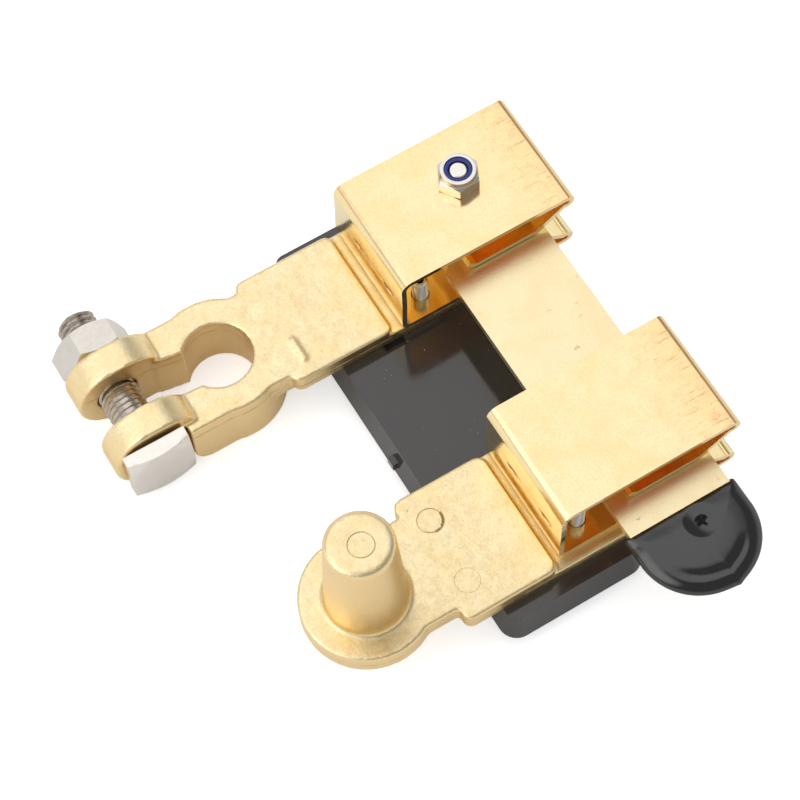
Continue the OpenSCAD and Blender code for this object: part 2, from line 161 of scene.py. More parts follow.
def cloud(tree, place, size, detail=3.0, roughness=0.55):
    """Noise from 0 to 1 with spots about size metres wide."""
    n = put(tree, "TexNoise", {"Vector": place, "Scale": 1 / size, "Detail": detail,
                               "Roughness": roughness})
    return n.outputs["Fac"]


def math_node(tree, operation, a, b=0.0, clamp=False):
    return put(tree, "Math", {0: a, 1: b}, operation=operation, use_clamp=clamp).outputs[0]


def times(tree, a, b):
    return math_node(tree, "MULTIPLY", a, b)


def most(tree, a, b):
    return math_node(tree, "MAXIMUM", a, b)


def span(tree, value, low, high, to_low=0.0, to_high=1.0, smooth=True):
    """value from low..high taken to to_low..to_high, and no further."""
    kind = "SMOOTHSTEP" if smooth else "LINEAR"
    n = put(tree, "MapRange", {"Value": value, "From Min": low, "From Max": high,
                               "To Min": to_low, "To Max": to_high}, interpolation_type=kind)
    return n.outputs["Result"]


def blend_colour(tree, share, a, b):
    n = put(tree, "Mix", data_type="RGBA")
    for socket, value in ((0, share), (6, a), (7, b)):
        if isinstance(value, bpy.types.NodeSocket):
            tree.links.new(value, n.inputs[socket])
        else:
            n.inputs[socket].default_value = (*value, 1) if hasattr(value, "__len__") else value
    return n.outputs[2]


def bump(tree, height, depth, before=None):
    inputs = {"Height": height, "Distance": depth, "Strength": 1.0}
    if before is not None:
        inputs["Normal"] = before
    return put(tree, "Bump", inputs).outputs["Normal"]


def axis_of(tree, place, axis):
    return put(tree, "SeparateXYZ", {"Vector": place}).outputs[axis]


def ring_mark(tree, place, centre, radius, width):
    """1 on a thin circle round a point, and 0 away from it."""
    away = put(tree, "VectorMath", {0: place, 1: centre}, operation="DISTANCE").outputs["Value"]
    off = math_node(tree, "ABSOLUTE", math_node(tree, "SUBTRACT", away, radius))
    return span(tree, off, width, 0.0)


# Materials

BRASS = (0.92, 0.71, 0.395)
PALE_BRASS = (0.94, 0.71, 0.435)
GOLD_BRASS = (0.93, 0.635, 0.32)
CAST_BRASS = (0.97, 0.83, 0.53)
CAST_GOLD = (0.95, 0.72, 0.35)
TARNISH = (0.80, 0.50, 0.22)
PIT_BROWN = (0.35, 0.22, 0.10)
SHEET_SPECK = (0.84, 0.57, 0.25)
# Lighter, yellower brass painted on the jaws' walls, floors and undersides: painted light against
# their shade
PAINTED_LIGHT_BELOW_TOP = (0.99, 0.82, 0.45)
BLADE_PALE = (0.96, 0.83, 0.53)
BLADE_GOLD = (0.93, 0.74, 0.41)
BLADE_SPECK = (0.88, 0.66, 0.34)
CAST_SPECK = (0.82, 0.58, 0.26)
# Brown painted into concave corners and fillets of the castings: painted shade
HOLLOW_PAINTED_SHADE = (0.70, 0.44, 0.16)
CAST_CREST = (0.96, 0.73, 0.38)
# Deeper gold painted on the castings' sideways faces: painted reflection of the brass round them,
# darker than the tops
SIDE_PAINTED_REFLECTION = (0.90, 0.67, 0.33)
# Dark brown for the castings' pits, and painted shade in the pin marks' grooves, the nick and
# along the seam
PITS_AND_PAINTED_SHADE = (0.40, 0.26, 0.11)
DUST = (0.75, 0.73, 0.70)
STEEL = (0.80, 0.755, 0.695)
NUT_STEEL = (0.71, 0.665, 0.61)
LOCK_NUT_STEEL = (0.73, 0.70, 0.65)
THREAD_STEEL = (0.50, 0.455, 0.405)
MOULDED_BLACK = (0.034, 0.031, 0.030)
DIPPED_BLACK = (0.006, 0.0055, 0.005)
# Black painted in the grip's torn hole: painted shade for its depth
HOLE_PAINTED_SHADE = (0.001, 0.001, 0.001)
NYLON = (0.02, 0.03, 0.20)
NYLON_DARK = (0.012, 0.02, 0.14)
NYLON_LIGHT = (0.03, 0.045, 0.26)
# Height of the line that the two halves of the casting mould left on the sides
SEAM_Z = 9.6 * MM


def grain_of(tree, place, size, depth, before=None):
    """Fine blasted or rolled grain."""
    return bump(tree, cloud(tree, place, size, 2, 0.5), depth, before)


def sheet_brass():
    """Rolled sheet: satin, cloudy, browner towards the mouth, with fine scratches and specks, and
    painted light on its faces below the top.
    """
    mat, tree, shader = material("sheet_brass", BRASS, 0.16, metallic=1.0)
    place = place_of(tree)
    slow = span(tree, cloud(tree, place, 11 * MM, 5, 0.6), 0.38, 0.66)
    fine = span(tree, cloud(tree, place, 0.7 * MM, 5, 0.75), 0.50, 0.66)
    y = axis_of(tree, place, "Y")
    mouth = span(tree, y, jaw_hi[1] - 20 * MM, jaw_hi[1] - 1 * MM)
    edge = span(tree, y, jaw_hi[1] - 5 * MM, jaw_hi[1] + 1 * MM)
    back = span(tree, axis_of(tree, place, "X"), jaw_lo[0] + 9 * MM, jaw_lo[0] - 1 * MM)
    warm = most(tree, mouth, times(tree, back, 0.7))
    gold = most(tree, times(tree, slow, 0.6), times(tree, warm, 0.75))
    colour = blend_colour(tree, gold, PALE_BRASS, GOLD_BRASS)
    speck = span(tree, cloud(tree, place, 0.42 * MM, 2, 0.5), 0.42, 0.62)
    colour = blend_colour(tree, times(tree, speck, 0.32), colour, SHEET_SPECK)
    blotch = span(tree, cloud(tree, place, 2.6 * MM, 6, 0.72), 0.48, 0.66)
    brown = times(tree, blotch, span(tree, fine, 0.0, 1.0, 0.3, 1.0))
    brown = times(tree, brown, span(tree, warm, 0.0, 1.0, 0.2, 1.0))
    brown = most(tree, brown, times(tree, edge, 0.42))
    colour = blend_colour(tree, brown, colour, TARNISH)
    pits = span(tree, cloud(tree, place, 0.42 * MM, 2, 0.5), 0.73, 0.80)
    pits = times(tree, pits, span(tree, cloud(tree, place, 6 * MM, 3), 0.45, 0.6))
    colour = blend_colour(tree, times(tree, pits, 0.4), colour, PIT_BROWN)
    # Every face lower than the top plate's upper face gets a lighter, yellower brass: painted
    # light lifting the shade on walls and insides.
    painted_light_below = span(tree, axis_of(tree, place, "Z"), jaw_hi[2] - 0.2 * MM, jaw_hi[2] - 0.9 * MM)
    colour = blend_colour(tree, times(tree, painted_light_below, 0.9), colour, PAINTED_LIGHT_BELOW_TOP)
    tree.links.new(colour, shader.inputs["Base Color"])
    gloss = span(tree, cloud(tree, place, 4 * MM, 5), 0.3, 0.7, 0.12, 0.2)
    tree.links.new(math_node(tree, "ADD", gloss, times(tree, brown, 0.15)),
                   shader.inputs["Roughness"])
    marks = stretched(tree, place, (3.2, 0.22, 3.2))
    scratch = span(tree, cloud(tree, marks, 1.5 * MM, 6, 0.75), 0.56, 0.7)
    scratch = times(tree, scratch, mouth)
    shape = grain_of(tree, place, 0.32 * MM, 0.004 * MM)
    shape = bump(tree, scratch, -0.014 * MM, shape)
    shape = bump(tree, cloud(tree, place, 9 * MM, 3), 0.07 * MM, shape)
    tree.links.new(shape, shader.inputs["Normal"])
    return mat


def blade_brass():
    """Flat bar: satin and grainier than the sheet, with a few short dents."""
    mat, tree, shader = material("blade_brass", BRASS, 0.32, metallic=1.0)
    place = place_of(tree)
    slow = span(tree, cloud(tree, place, 8 * MM, 4), 0.4, 0.7)
    colour = blend_colour(tree, times(tree, slow, 0.5), BLADE_PALE, BLADE_GOLD)
    speck = span(tree, cloud(tree, place, 0.36 * MM, 2, 0.5), 0.42, 0.62)
    colour = blend_colour(tree, times(tree, speck, 0.25), colour, BLADE_SPECK)
    marks = cloud(tree, stretched(tree, place, (1.0, 0.45, 1.0)), 1.9 * MM, 5, 0.7)
    mark = times(tree, span(tree, marks, 0.655, 0.69),
                 span(tree, cloud(tree, place, 9 * MM, 2), 0.48, 0.56))
    dark = times(tree, mark, 0.4)
    tree.links.new(blend_colour(tree, dark, colour, TARNISH), shader.inputs["Base Color"])
    shape = grain_of(tree, place, 0.42 * MM, 0.032 * MM)
    shape = bump(tree, mark, -0.03 * MM, shape)
    shape = bump(tree, cloud(tree, place, 16 * MM, 2), 0.06 * MM, shape)
    tree.links.new(shape, shader.inputs["Normal"])
    return mat


def cast_brass(name, rings, nick=None):
    """Blasted casting: grain, lumps, pits, painted shade in its hollows, pin-mark grooves, nick
    and seam, a painted reflection on its sides, and the marks of the mould's pins.
    """
    mat, tree, shader = material(name, CAST_BRASS, 0.36, metallic=1.0)
    place = place_of(tree)
    slow = span(tree, cloud(tree, place, 7 * MM, 5, 0.6), 0.36, 0.66)
    grain = cloud(tree, place, 0.55 * MM, 3, 0.6)
    speck = span(tree, cloud(tree, place, 0.42 * MM, 2, 0.5), 0.40, 0.62)
    pits = span(tree, cloud(tree, place, 0.9 * MM, 3, 0.5), 0.73, 0.80)
    pits = times(tree, pits, span(tree, cloud(tree, place, 7 * MM, 2), 0.45, 0.55))
    colour = blend_colour(tree, times(tree, slow, 0.5), CAST_BRASS, CAST_GOLD)
    colour = blend_colour(tree, times(tree, speck, 0.34), colour, CAST_SPECK)
    form = put(tree, "NewGeometry")
    worn = form.outputs["Pointiness"]
    # Concave corners and fillets are darkened brown: painted shade.
    hollow = span(tree, worn, 0.497, 0.43)
    crest = span(tree, worn, 0.51, 0.56)
    colour = blend_colour(tree, times(tree, hollow, 0.65), colour, HOLLOW_PAINTED_SHADE)
    colour = blend_colour(tree, times(tree, crest, 0.4), colour, CAST_CREST)
    side = math_node(tree, "ABSOLUTE", axis_of(tree, form.outputs["True Normal"], "Z"))
    over_seam = math_node(tree, "SUBTRACT", axis_of(tree, place, "Z"), SEAM_Z)
    seam_off = math_node(tree, "ABSOLUTE", over_seam)
    seam = times(tree, span(tree, seam_off, 0.3 * MM, 0.05 * MM), span(tree, side, 0.6, 0.3))
    seam = times(tree, seam, span(tree, cloud(tree, place, 5 * MM, 3), 0.35, 0.55))
    # Sideways faces get a deeper gold: painted reflection of the brass round them.
    colour = blend_colour(tree, span(tree, side, 0.75, 0.25, 0.0, 0.85), colour, SIDE_PAINTED_REFLECTION)
    # Pits are darkened, and so is the seam line: painted shade along its ridge.
    dark = most(tree, times(tree, pits, 0.55), times(tree, seam, 0.3))
    shape = bump(tree, grain, 0.05 * MM)
    shape = bump(tree, seam, 0.22 * MM, shape)
    shape = bump(tree, cloud(tree, place, 3.4 * MM, 4), 0.10 * MM, shape)
    shape = bump(tree, pits, -0.12 * MM, shape)
    for centre, radius, strength in rings:
        ring = ring_mark(tree, place, centre, radius, 0.17 * MM)
        broken = times(tree, ring, strength)
        shape = bump(tree, broken, -0.10 * MM, shape)
        # The pin marks' grooves are darkened: painted shade.
        dark = most(tree, dark, times(tree, broken, 0.5))
    if nick:
        centre, radius, towards = nick
        ring = ring_mark(tree, place, centre, radius, 0.42 * MM)
        away = put(tree, "VectorMath", {0: place, 1: centre}, operation="SUBTRACT")
        along = put(tree, "VectorMath", {0: away.outputs["Vector"], 1: towards},
                    operation="DOT_PRODUCT").outputs["Value"]
        gaps = span(tree, cloud(tree, place, 1.6 * MM, 3), 0.4, 0.5)
        cut = times(tree, ring, span(tree, along, radius * 0.45, radius * 0.8))
        cut = times(tree, cut, gaps)
        shape = bump(tree, cut, -0.5 * MM, shape)
        # The nick is darkened: painted shadow in it.
        dark = most(tree, dark, times(tree, cut, 0.75))
    tree.links.new(blend_colour(tree, dark, colour, PITS_AND_PAINTED_SHADE), shader.inputs["Base Color"])
    tree.links.new(span(tree, cloud(tree, place, 1.5 * MM, 5), 0.3, 0.7, 0.32, 0.42),
                   shader.inputs["Roughness"])
    tree.links.new(shape, shader.inputs["Normal"])
    return mat


def steel(name, colour=STEEL, roughness=0.22, thread_to=None):
    """Plain stainless hardware with a faint grain, darker at X below thread_to."""
    mat, tree, shader = material(name, colour, roughness, metallic=1.0)
    place = place_of(tree)
    tone = span(tree, cloud(tree, place, 2.2 * MM, 4), 0.3, 0.7)
    darker = tuple(c * 0.95 for c in colour)
    surface = blend_colour(tree, tone, darker, colour)
    if thread_to is not None:
        thread = span(tree, axis_of(tree, place, "X"), thread_to, thread_to - 0.1 * MM)
        surface = blend_colour(tree, thread, surface, THREAD_STEEL)
    tree.links.new(surface, shader.inputs["Base Color"])
    tree.links.new(span(tree, cloud(tree, place, 1.0 * MM, 4), 0.3, 0.7, roughness - 0.02,
                        roughness + 0.03), shader.inputs["Roughness"])
    tree.links.new(bump(tree, cloud(tree, place, 0.5 * MM, 4), 0.006 * MM),
                   shader.inputs["Normal"])
    return mat


def gloss_black(name, colour, roughness, waves, dust, scratches, torn=None, ior=1.62):
    """Glossy black plastic with slow waves, hair scratches, white dust and a torn hole painted
    black as shade.

    waves: their width and depth. dust: width of its cells, size of a speck as a share of a cell,
    and the share of cells without one. scratches: how the noise is stretched for them.
    torn: the hole's middle, at the height where its painted shade starts.
    """
    mat, tree, shader = material(name, colour, roughness, IOR=ior)
    place = place_of(tree)
    cells = put(tree, "TexVoronoi", {"Vector": place, "Scale": 1 / dust[0]}, feature="F1")
    spot = span(tree, cells.outputs["Distance"], dust[1], dust[1] * 0.45)
    some = span(tree, axis_of(tree, cells.outputs["Color"], "X"), dust[2], dust[2] + 0.02)
    patch = span(tree, cloud(tree, place, 9 * MM, 3), 0.42, 0.62)
    specks = times(tree, times(tree, spot, some), patch)
    hair = span(tree, cloud(tree, stretched(tree, place, scratches), 1.4 * MM, 5, 0.7), 0.66, 0.75)
    haze = times(tree, hair, 0.05)
    tone = most(tree, times(tree, specks, 0.75), haze)
    surface = blend_colour(tree, tone, colour, DUST)
    hole_shade = 0.0
    if torn:
        # The torn hole's low part is painted black with full roughness: painted shade for its
        # depth.
        away = put(tree, "VectorMath", {0: place, 1: torn}, operation="DISTANCE").outputs["Value"]
        low = span(tree, axis_of(tree, place, "Z"), torn[2], torn[2] - 0.12 * MM)
        hole_shade = times(tree, low, span(tree, away, 1.9 * MM, 1.6 * MM))
        surface = blend_colour(tree, hole_shade, surface, HOLE_PAINTED_SHADE)
    tree.links.new(surface, shader.inputs["Base Color"])
    matt = span(tree, cloud(tree, place, 5 * MM, 4), 0.35, 0.75, roughness * 0.8, roughness * 1.5)
    matt = most(tree, matt, times(tree, specks, 0.6))
    tree.links.new(most(tree, matt, hole_shade), shader.inputs["Roughness"])
    shape = bump(tree, cloud(tree, place, waves[0], 2), waves[1])
    shape = bump(tree, specks, 0.03 * MM, shape)
    tree.links.new(shape, shader.inputs["Normal"])
    return mat


def blue_nylon():
    mat, tree, shader = material("blue_nylon", NYLON, 0.38)
    place = place_of(tree)
    tone = cloud(tree, place, 0.8 * MM, 4)
    tree.links.new(blend_colour(tree, tone, NYLON_DARK, NYLON_LIGHT),
                   shader.inputs["Base Color"])
    tree.links.new(bump(tree, tone, 0.02 * MM), shader.inputs["Normal"])
    return mat


# Shapes

def add_piece(name, mesh, body, slot, *replaced):
    obj = bpy.data.objects.new(name, mesh)
    bpy.context.scene.collection.objects.link(obj)
    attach(obj, body)
    if replaced:
        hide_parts(*replaced)
    return obj


def mesh_from(name, points, faces, smooth=True):
    mesh = bpy.data.meshes.new(name)
    mesh.from_pydata([tuple(p) for p in points], [], faces)
    mesh.update()
    for polygon in mesh.polygons:
        polygon.use_smooth = smooth
    return mesh


def shade_group(angle):
    """A node group that shades smoothly across every edge flatter than the angle."""
    name = f"shade_{angle}"
    if name in bpy.data.node_groups:
        return bpy.data.node_groups[name]
    group = bpy.data.node_groups.new(name, "GeometryNodeTree")
    for way in ("INPUT", "OUTPUT"):
        group.interface.new_socket("Geometry", in_out=way, socket_type="NodeSocketGeometry")
    source, result = group.nodes.new("NodeGroupInput"), group.nodes.new("NodeGroupOutput")
    faces = group.nodes.new("GeometryNodeSetShadeSmooth")
    edges = group.nodes.new("GeometryNodeSetShadeSmooth")
    edges.domain = "EDGE"
    turn = group.nodes.new("GeometryNodeInputMeshEdgeAngle")
    flatter = group.nodes.new("ShaderNodeMath")
    flatter.operation = "LESS_THAN"
    flatter.inputs[1].default_value = math.radians(angle)
    group.links.new(source.outputs[0], faces.inputs["Geometry"])
    group.links.new(faces.outputs[0], edges.inputs["Geometry"])
    group.links.new(turn.outputs["Unsigned Angle"], flatter.inputs[0])
    group.links.new(flatter.outputs[0], edges.inputs["Shade Smooth"])
    group.links.new(edges.outputs[0], result.inputs[0])
    return group


def round_edges(obj, width, segments, angle):
    """Small round edges, and shading that keeps flat faces flat and bends smooth."""
    round_off = obj.modifiers.new("round_off", "BEVEL")
    round_off.width = width
    round_off.segments = segments
    round_off.limit_method = "ANGLE"
    round_off.angle_limit = math.radians(angle)
    round_off.use_clamp_overlap = True
    obj.modifiers.new("shade", "NODES").node_group = shade_group(angle)
    flat = obj.modifiers.new("flat_faces", "WEIGHTED_NORMAL")
    flat.keep_sharp = True


def soften(obj, mat, width, segments=2, angle=32):
    """Gives a CAD solid its material and small round edges."""
    obj.data.materials.clear()
    obj.data.materials.append(mat)
    weld = obj.modifiers.new("weld", "WELD")
    weld.merge_threshold = 0.002 * MM
    round_edges(obj, width, segments, angle)
    return obj


def melt(obj, mat, voxel, passes):
    """Gives a cast CAD solid its material and the soft corners and fillets of a casting."""
    obj.data.materials.clear()
    obj.data.materials.append(mat)
    weld = obj.modifiers.new("weld", "WELD")
    weld.merge_threshold = 0.002 * MM
    remesh = obj.modifiers.new("remesh", "REMESH")
    remesh.mode = "VOXEL"
    remesh.voxel_size = voxel
    remesh.use_smooth_shade = True
    smooth = obj.modifiers.new("smooth", "SMOOTH")
    smooth.factor = 0.5
    smooth.iterations = passes
    return obj


# Rings of points along one pitch of a thread
THREAD_RINGS = 9


def thread_profile(phase, depth):
    """How far a thread's surface lies under its crest, at a phase from 0 to 1 along one pitch."""
    slope = abs(phase - 0.5) * 2
    return depth * min(1.0, max(0.0, (slope - 0.12) / 0.66))


def threaded_rod(radius, pitch, depth, start, end, sides, taper=0.8 * MM):
    """Points and faces of a rod with a real helix, from start to end, chamfered at its end."""
    length = (Vector(end) - Vector(start)).length
    direction = (Vector(end) - Vector(start)).normalized()
    turn = direction.to_track_quat("Z", "Y")
    rings = int(length / pitch * THREAD_RINGS)
    points, faces = [], []
    for i in range(rings + 1):
        z = length * i / rings
        for k in range(sides):
            phase = (z / pitch - k / sides) % 1.0
            r = radius - thread_profile(phase, depth)
            r = min(r, radius - depth * 1.3 * max(0.0, 1 - (length - z) / taper))
            angle = 2 * math.pi * k / sides
            local = Vector((r * math.cos(angle), r * math.sin(angle), z))
            points.append(Vector(start) + turn @ local)
    for i in range(rings):
        for k in range(sides):
            a, b = i * sides + k, i * sides + (k + 1) % sides
            faces.append((a, b, b + sides, a + sides))
    faces.append(tuple(range(sides))[::-1])
    faces.append(tuple(rings * sides + k for k in range(sides)))
    return points, faces


def cad_copy(name, keep_point):
    """A welded copy of a CAD solid's mesh whose points are moved by keep_point."""
    mesh = nodes[name].data.copy()
    bm = bmesh.new()
    bm.from_mesh(mesh)
    bmesh.ops.remove_doubles(bm, verts=bm.verts, dist=0.002 * MM)
    for v in bm.verts:
        v.co = keep_point(v.co.copy())
    bm.to_mesh(mesh)
    bm.free()
    return mesh


def join_points(mesh, points, faces):
    """Adds more points and faces to a mesh."""
    bm = bmesh.new()
    bm.from_mesh(mesh)
    added = [bm.verts.new(p) for p in points]
    for face in faces:
        made = bm.faces.new([added[i] for i in face])
        made.smooth = True
    bm.normal_update()
    bm.to_mesh(mesh)
    bm.free()


def thinned(centre, axis, radius, by, inside):
    """A point mover that draws a shank in towards its axis, for points that inside() accepts."""
    axis = Vector(axis)

    def move(p):
        away = p - centre
        away -= axis * away.dot(axis)
        if inside(p) and away.length < radius * 1.02:
            p -= away.normalized() * min(by, away.length)
        return p
    return move


# Radius, thread depth and pitch of the clamp bolt and of the jaw screws
BOLT_THREAD = (5.0 * MM, 0.92 * MM, 1.5 * MM)
SCREW_THREAD = (2.0 * MM, 0.42 * MM, 0.7 * MM)
# Height of the clamp bolt's head, how far it stands off its ear, and where its bright steel ends
BOLT_HEAD_H = 4.6 * MM
HEAD_OFF = 0.7 * MM
BRIGHT_TO = 4.7 * MM
# How far over a jaw screw's lower end its new thread starts
SCREW_THREAD_FROM = 6.0 * MM


def clamp_bolt(mat):
    """Square-headed bolt with its thread cut all the way to the far end."""
    lo, hi = node_box("clamp_bolt")
    radius, depth, pitch = BOLT_THREAD
    centre = Vector((0, (lo[1] + hi[1]) / 2, (lo[2] + hi[2]) / 2))
    under_head = hi[0] - BOLT_HEAD_H
    shank = thinned(centre, (1, 0, 0), radius, depth * 1.25, lambda p: p.x < under_head - 0.1 * MM)

    def eased(p):
        """The head's inner face stands a little off the ear, as on its rolled blank."""
        away = math.hypot(p.y - centre.y, p.z - centre.z)
        if abs(p.x - under_head) < 0.05 * MM and away > radius * 1.1:
            p.x += HEAD_OFF
        return shank(p)
    mesh = cad_copy("clamp_bolt", eased)
    start = Vector((under_head - 0.3 * MM, centre.y, centre.z))
    end = Vector((lo[0], centre.y, centre.z))
    points, faces = threaded_rod(radius, pitch, depth, start, end, 56)
    join_points(mesh, points, faces)
    obj = add_piece("clamp_bolt_cut", mesh, "switch", "steel", "clamp_bolt")
    soften_new(obj, mat, 0.22 * MM, 40)
    return obj


def soften_new(obj, mat, width, angle):
    """Gives a new mesh its material and small round edges."""
    obj.data.materials.clear()
    obj.data.materials.append(mat)
    round_edges(obj, width, 2, angle)


def jaw_screws(mat):
    """The four screws through the jaws' floors, with real threads on their upper ends."""
    for jaw in ("pivot_jaw", "contact_jaw"):
        for side in ("back", "front"):
            name = f"{jaw}_screw_{side}"
            lo, hi = node_box(name)
            centre = Vector(((lo[0] + hi[0]) / 2, (lo[1] + hi[1]) / 2, 0))
            radius, depth, pitch = SCREW_THREAD
            bottom = lo[2] + SCREW_THREAD_FROM
            mesh = cad_copy(name, thinned(centre, (0, 0, 1), radius, depth * 1.3,
                                          lambda p, z=bottom: p.z > z - 1 * MM))
            start = Vector((centre.x, centre.y, bottom))
            end = Vector((centre.x, centre.y, hi[2]))
            points, faces = threaded_rod(radius, pitch, depth, start, end, 32, 0.5 * MM)
            join_points(mesh, points, faces)
            obj = add_piece(name + "_cut", mesh, "switch", "steel", name)
            soften_new(obj, mat, 0.1 * MM, 40)


# Grip: a dipped sleeve with soft edges, a dimple and the hole that the dipping hook left

GRIP_RIM = 3.3 * MM
GRIP_CORNER = 1.6 * MM
GRIP_RINGS = 46
GRIP_SIDES = 260
DIMPLE_IN = 5.7 * MM
DIMPLE_OFF = 2.4 * MM
DIMPLE_R = 4.4 * MM
DIMPLE_DEPTH = 0.62 * MM
# the torn plus: its turn, the half width and half length of its bars, and its depth
HOLE_TURN = math.radians(20)
HOLE_BAR = (0.34 * MM, 1.5 * MM)
HOLE_DEPTH = 0.30 * MM
# height over the blade's middle under which the torn hole is painted black as shade
HOLE_DARK_Z = 1.68 * MM
# low crescent inside the rim, where the coat thickens towards the far end
CRESCENT_WAY = math.radians(-4)
CRESCENT_IN = 3.9 * MM
CRESCENT_WIDTH = 1.15 * MM
CRESCENT_DEPTH = 0.30 * MM
# how much lower the coat's top is at the rim, as a share of its half thickness
DOME = 0.34
# small tip where the coat dripped off
TIP_WAY = math.radians(7)
TIP_OUT = 0.6 * MM


def end_radius(angle):
    """Radius of the grip's far end at an angle round its centre, largest at the drip's tip."""
    r_end = (grip_hi[1] - grip_lo[1]) / 2
    drip = 1 - math.exp(-abs(angle - TIP_WAY) / math.radians(7))
    return r_end - TIP_OUT * max(0.0, math.cos(angle)) * drip


def grip_outline(count):
    """Points round the grip in plan: a straight edge with round corners, and a round far end."""
    x0, x1 = grip_lo[0], grip_hi[0]
    y0, y1 = grip_lo[1], grip_hi[1]
    r_end = (y1 - y0) / 2
    centre = ((x1 - r_end), (y0 + y1) / 2)
    corner = GRIP_CORNER
    line = []
    for a in np.linspace(-math.pi / 2, math.pi / 2, 120):
        r = end_radius(a)
        line.append((centre[0] + r * math.cos(a), centre[1] + r * math.sin(a)))
    line += [(x0 + corner + corner * math.cos(a), y1 - corner + corner * math.sin(a))
             for a in np.linspace(math.pi / 2, math.pi, 10)]
    line += [(x0 + corner + corner * math.cos(a), y0 + corner + corner * math.sin(a))
             for a in np.linspace(math.pi, math.pi * 1.5, 10)]
    line = np.array(line)
    closed = np.vstack([line, line[:1]])
    steps = np.concatenate([[0], np.cumsum(np.linalg.norm(np.diff(closed, axis=0), axis=1))])
    at = np.linspace(0, steps[-1], count, endpoint=False)
    return np.stack([np.interp(at, steps, closed[:, 0]), np.interp(at, steps, closed[:, 1])], 1)


def ease(value, low, high):
    """0 below low, 1 above high and a smooth step between."""
    t = min(1.0, max(0.0, (value - low) / (high - low)))
    return t * t * (3 - 2 * t)


def torn_hole(dx, dy):
    """1 inside the torn plus in the dimple and 0 outside, with a soft edge."""
    turn = HOLE_TURN
    u, v = dx * math.cos(turn) + dy * math.sin(turn), dy * math.cos(turn) - dx * math.sin(turn)
    wide, reach = HOLE_BAR
    bars = (max(abs(u) / wide, abs(v) / reach), max(abs(v) / wide, abs(u) / (reach * 0.85)))
    return 1 - ease(min(bars), 0.8, 1.15)


def grip_height(x, y, depth_in, side):
    """Height of the grip's surface over the blade's middle, at depth_in from the rim."""
    half = (grip_hi[2] - grip_lo[2]) / 2
    straight = x - grip_lo[0]
    rim = min(GRIP_RIM, 0.8 * MM + 0.8 * straight)
    t = min(1.0, depth_in / rim)
    dome = 1 - DOME * max(0.0, 1 - depth_in / (12 * MM)) ** 2
    swell = 0.72 + 0.28 * ease(straight, 0.0, 6.0 * MM)
    z = half * dome * swell * math.sqrt(max(0.0, 1 - (1 - t) ** 2))
    middle = (grip_lo[1] + grip_hi[1]) / 2
    facing = math.atan2(y - middle, x - (grip_hi[0] - (grip_hi[1] - grip_lo[1]) / 2))
    hollow = ease(math.cos(facing - CRESCENT_WAY), 0.35, 0.9)
    z -= CRESCENT_DEPTH * hollow * math.exp(-((depth_in - CRESCENT_IN) / CRESCENT_WIDTH) ** 2)
    dx, dy = x - (grip_lo[0] + DIMPLE_IN), y - (middle + DIMPLE_OFF)
    away = math.hypot(dx, dy)
    if side > 0:
        bowl = max(0.0, 1 - (away / DIMPLE_R) ** 2)
        z -= DIMPLE_DEPTH * bowl ** 1.15
        z -= HOLE_DEPTH * torn_hole(dx, dy)
    wave = noise.noise(Vector((x, y, side * 0.02)) / (9 * MM))
    z += 0.07 * MM * (wave - 0.5) * ease(depth_in, 0.0, 3 * MM)
    return z


def handle_grip(mat):
    """The dipped sleeve: an upper and a lower skin of rings from the rim in to the dimple."""
    outline = grip_outline(GRIP_SIDES)
    middle = Vector((grip_lo[0] + DIMPLE_IN, (grip_lo[1] + grip_hi[1]) / 2 + DIMPLE_OFF))
    shares = [(1 - math.cos(math.pi / 2 * i / 14)) for i in range(14)]
    points, faces = [], []

    def layer(side):
        first = len(points)
        columns = []
        for k in range(GRIP_SIDES):
            b = Vector(outline[k])
            reach = (middle - b).length
            into = (middle - b) / reach
            ways = [GRIP_RIM * share for share in shares]
            left = reach * 0.985 - GRIP_RIM
            ways += [GRIP_RIM + left * (i / (GRIP_RINGS - 1)) ** 0.8 for i in range(GRIP_RINGS)]
            columns.append([b + into * way for way in ways])
        count = len(columns[0])
        for i in range(count):
            for k in range(GRIP_SIDES):
                p = columns[k][i]
                z = grip_height(p.x, p.y, rim_distance(p), side)
                points.append((p.x, p.y, BLADE_Z + side * z))
        points.append((middle.x, middle.y,
                       BLADE_Z + side * grip_height(middle.x, middle.y, 9 * MM, side)))
        last = len(points) - 1
        for i in range(count - 1):
            for k in range(GRIP_SIDES):
                a = first + i * GRIP_SIDES + k
                b = first + i * GRIP_SIDES + (k + 1) % GRIP_SIDES
                quad = (a, b, b + GRIP_SIDES, a + GRIP_SIDES)
                faces.append(quad if side > 0 else quad[::-1])
        for k in range(GRIP_SIDES):
            a = first + (count - 1) * GRIP_SIDES + k
            b = first + (count - 1) * GRIP_SIDES + (k + 1) % GRIP_SIDES
            faces.append((a, b, last) if side > 0 else (b, a, last))

    def rim_distance(p):
        """Distance from a point to the grip's outline in plan."""
        r_end = (grip_hi[1] - grip_lo[1]) / 2
        centre_x, centre_y = grip_hi[0] - r_end, (grip_lo[1] + grip_hi[1]) / 2
        sides = r_end - abs(p.y - centre_y)
        past = max(0.0, p.x - centre_x)
        far = end_radius(math.atan2(p.y - centre_y, past)) - math.hypot(past, p.y - centre_y)
        return max(0.0, min(sides, far, p.x - grip_lo[0]))

    layer(1)
    layer(-1)
    mesh = mesh_from("grip_dipped", points, faces)
    bm = bmesh.new()
    bm.from_mesh(mesh)
    bmesh.ops.remove_doubles(bm, verts=bm.verts, dist=0.001 * MM)
    bmesh.ops.recalc_face_normals(bm, faces=bm.faces)
    bm.to_mesh(mesh)
    bm.free()
    obj = add_piece("grip_dipped", mesh, "knife", "dipped_grip", "handle_grip")
    mesh.materials.append(mat)
    return obj


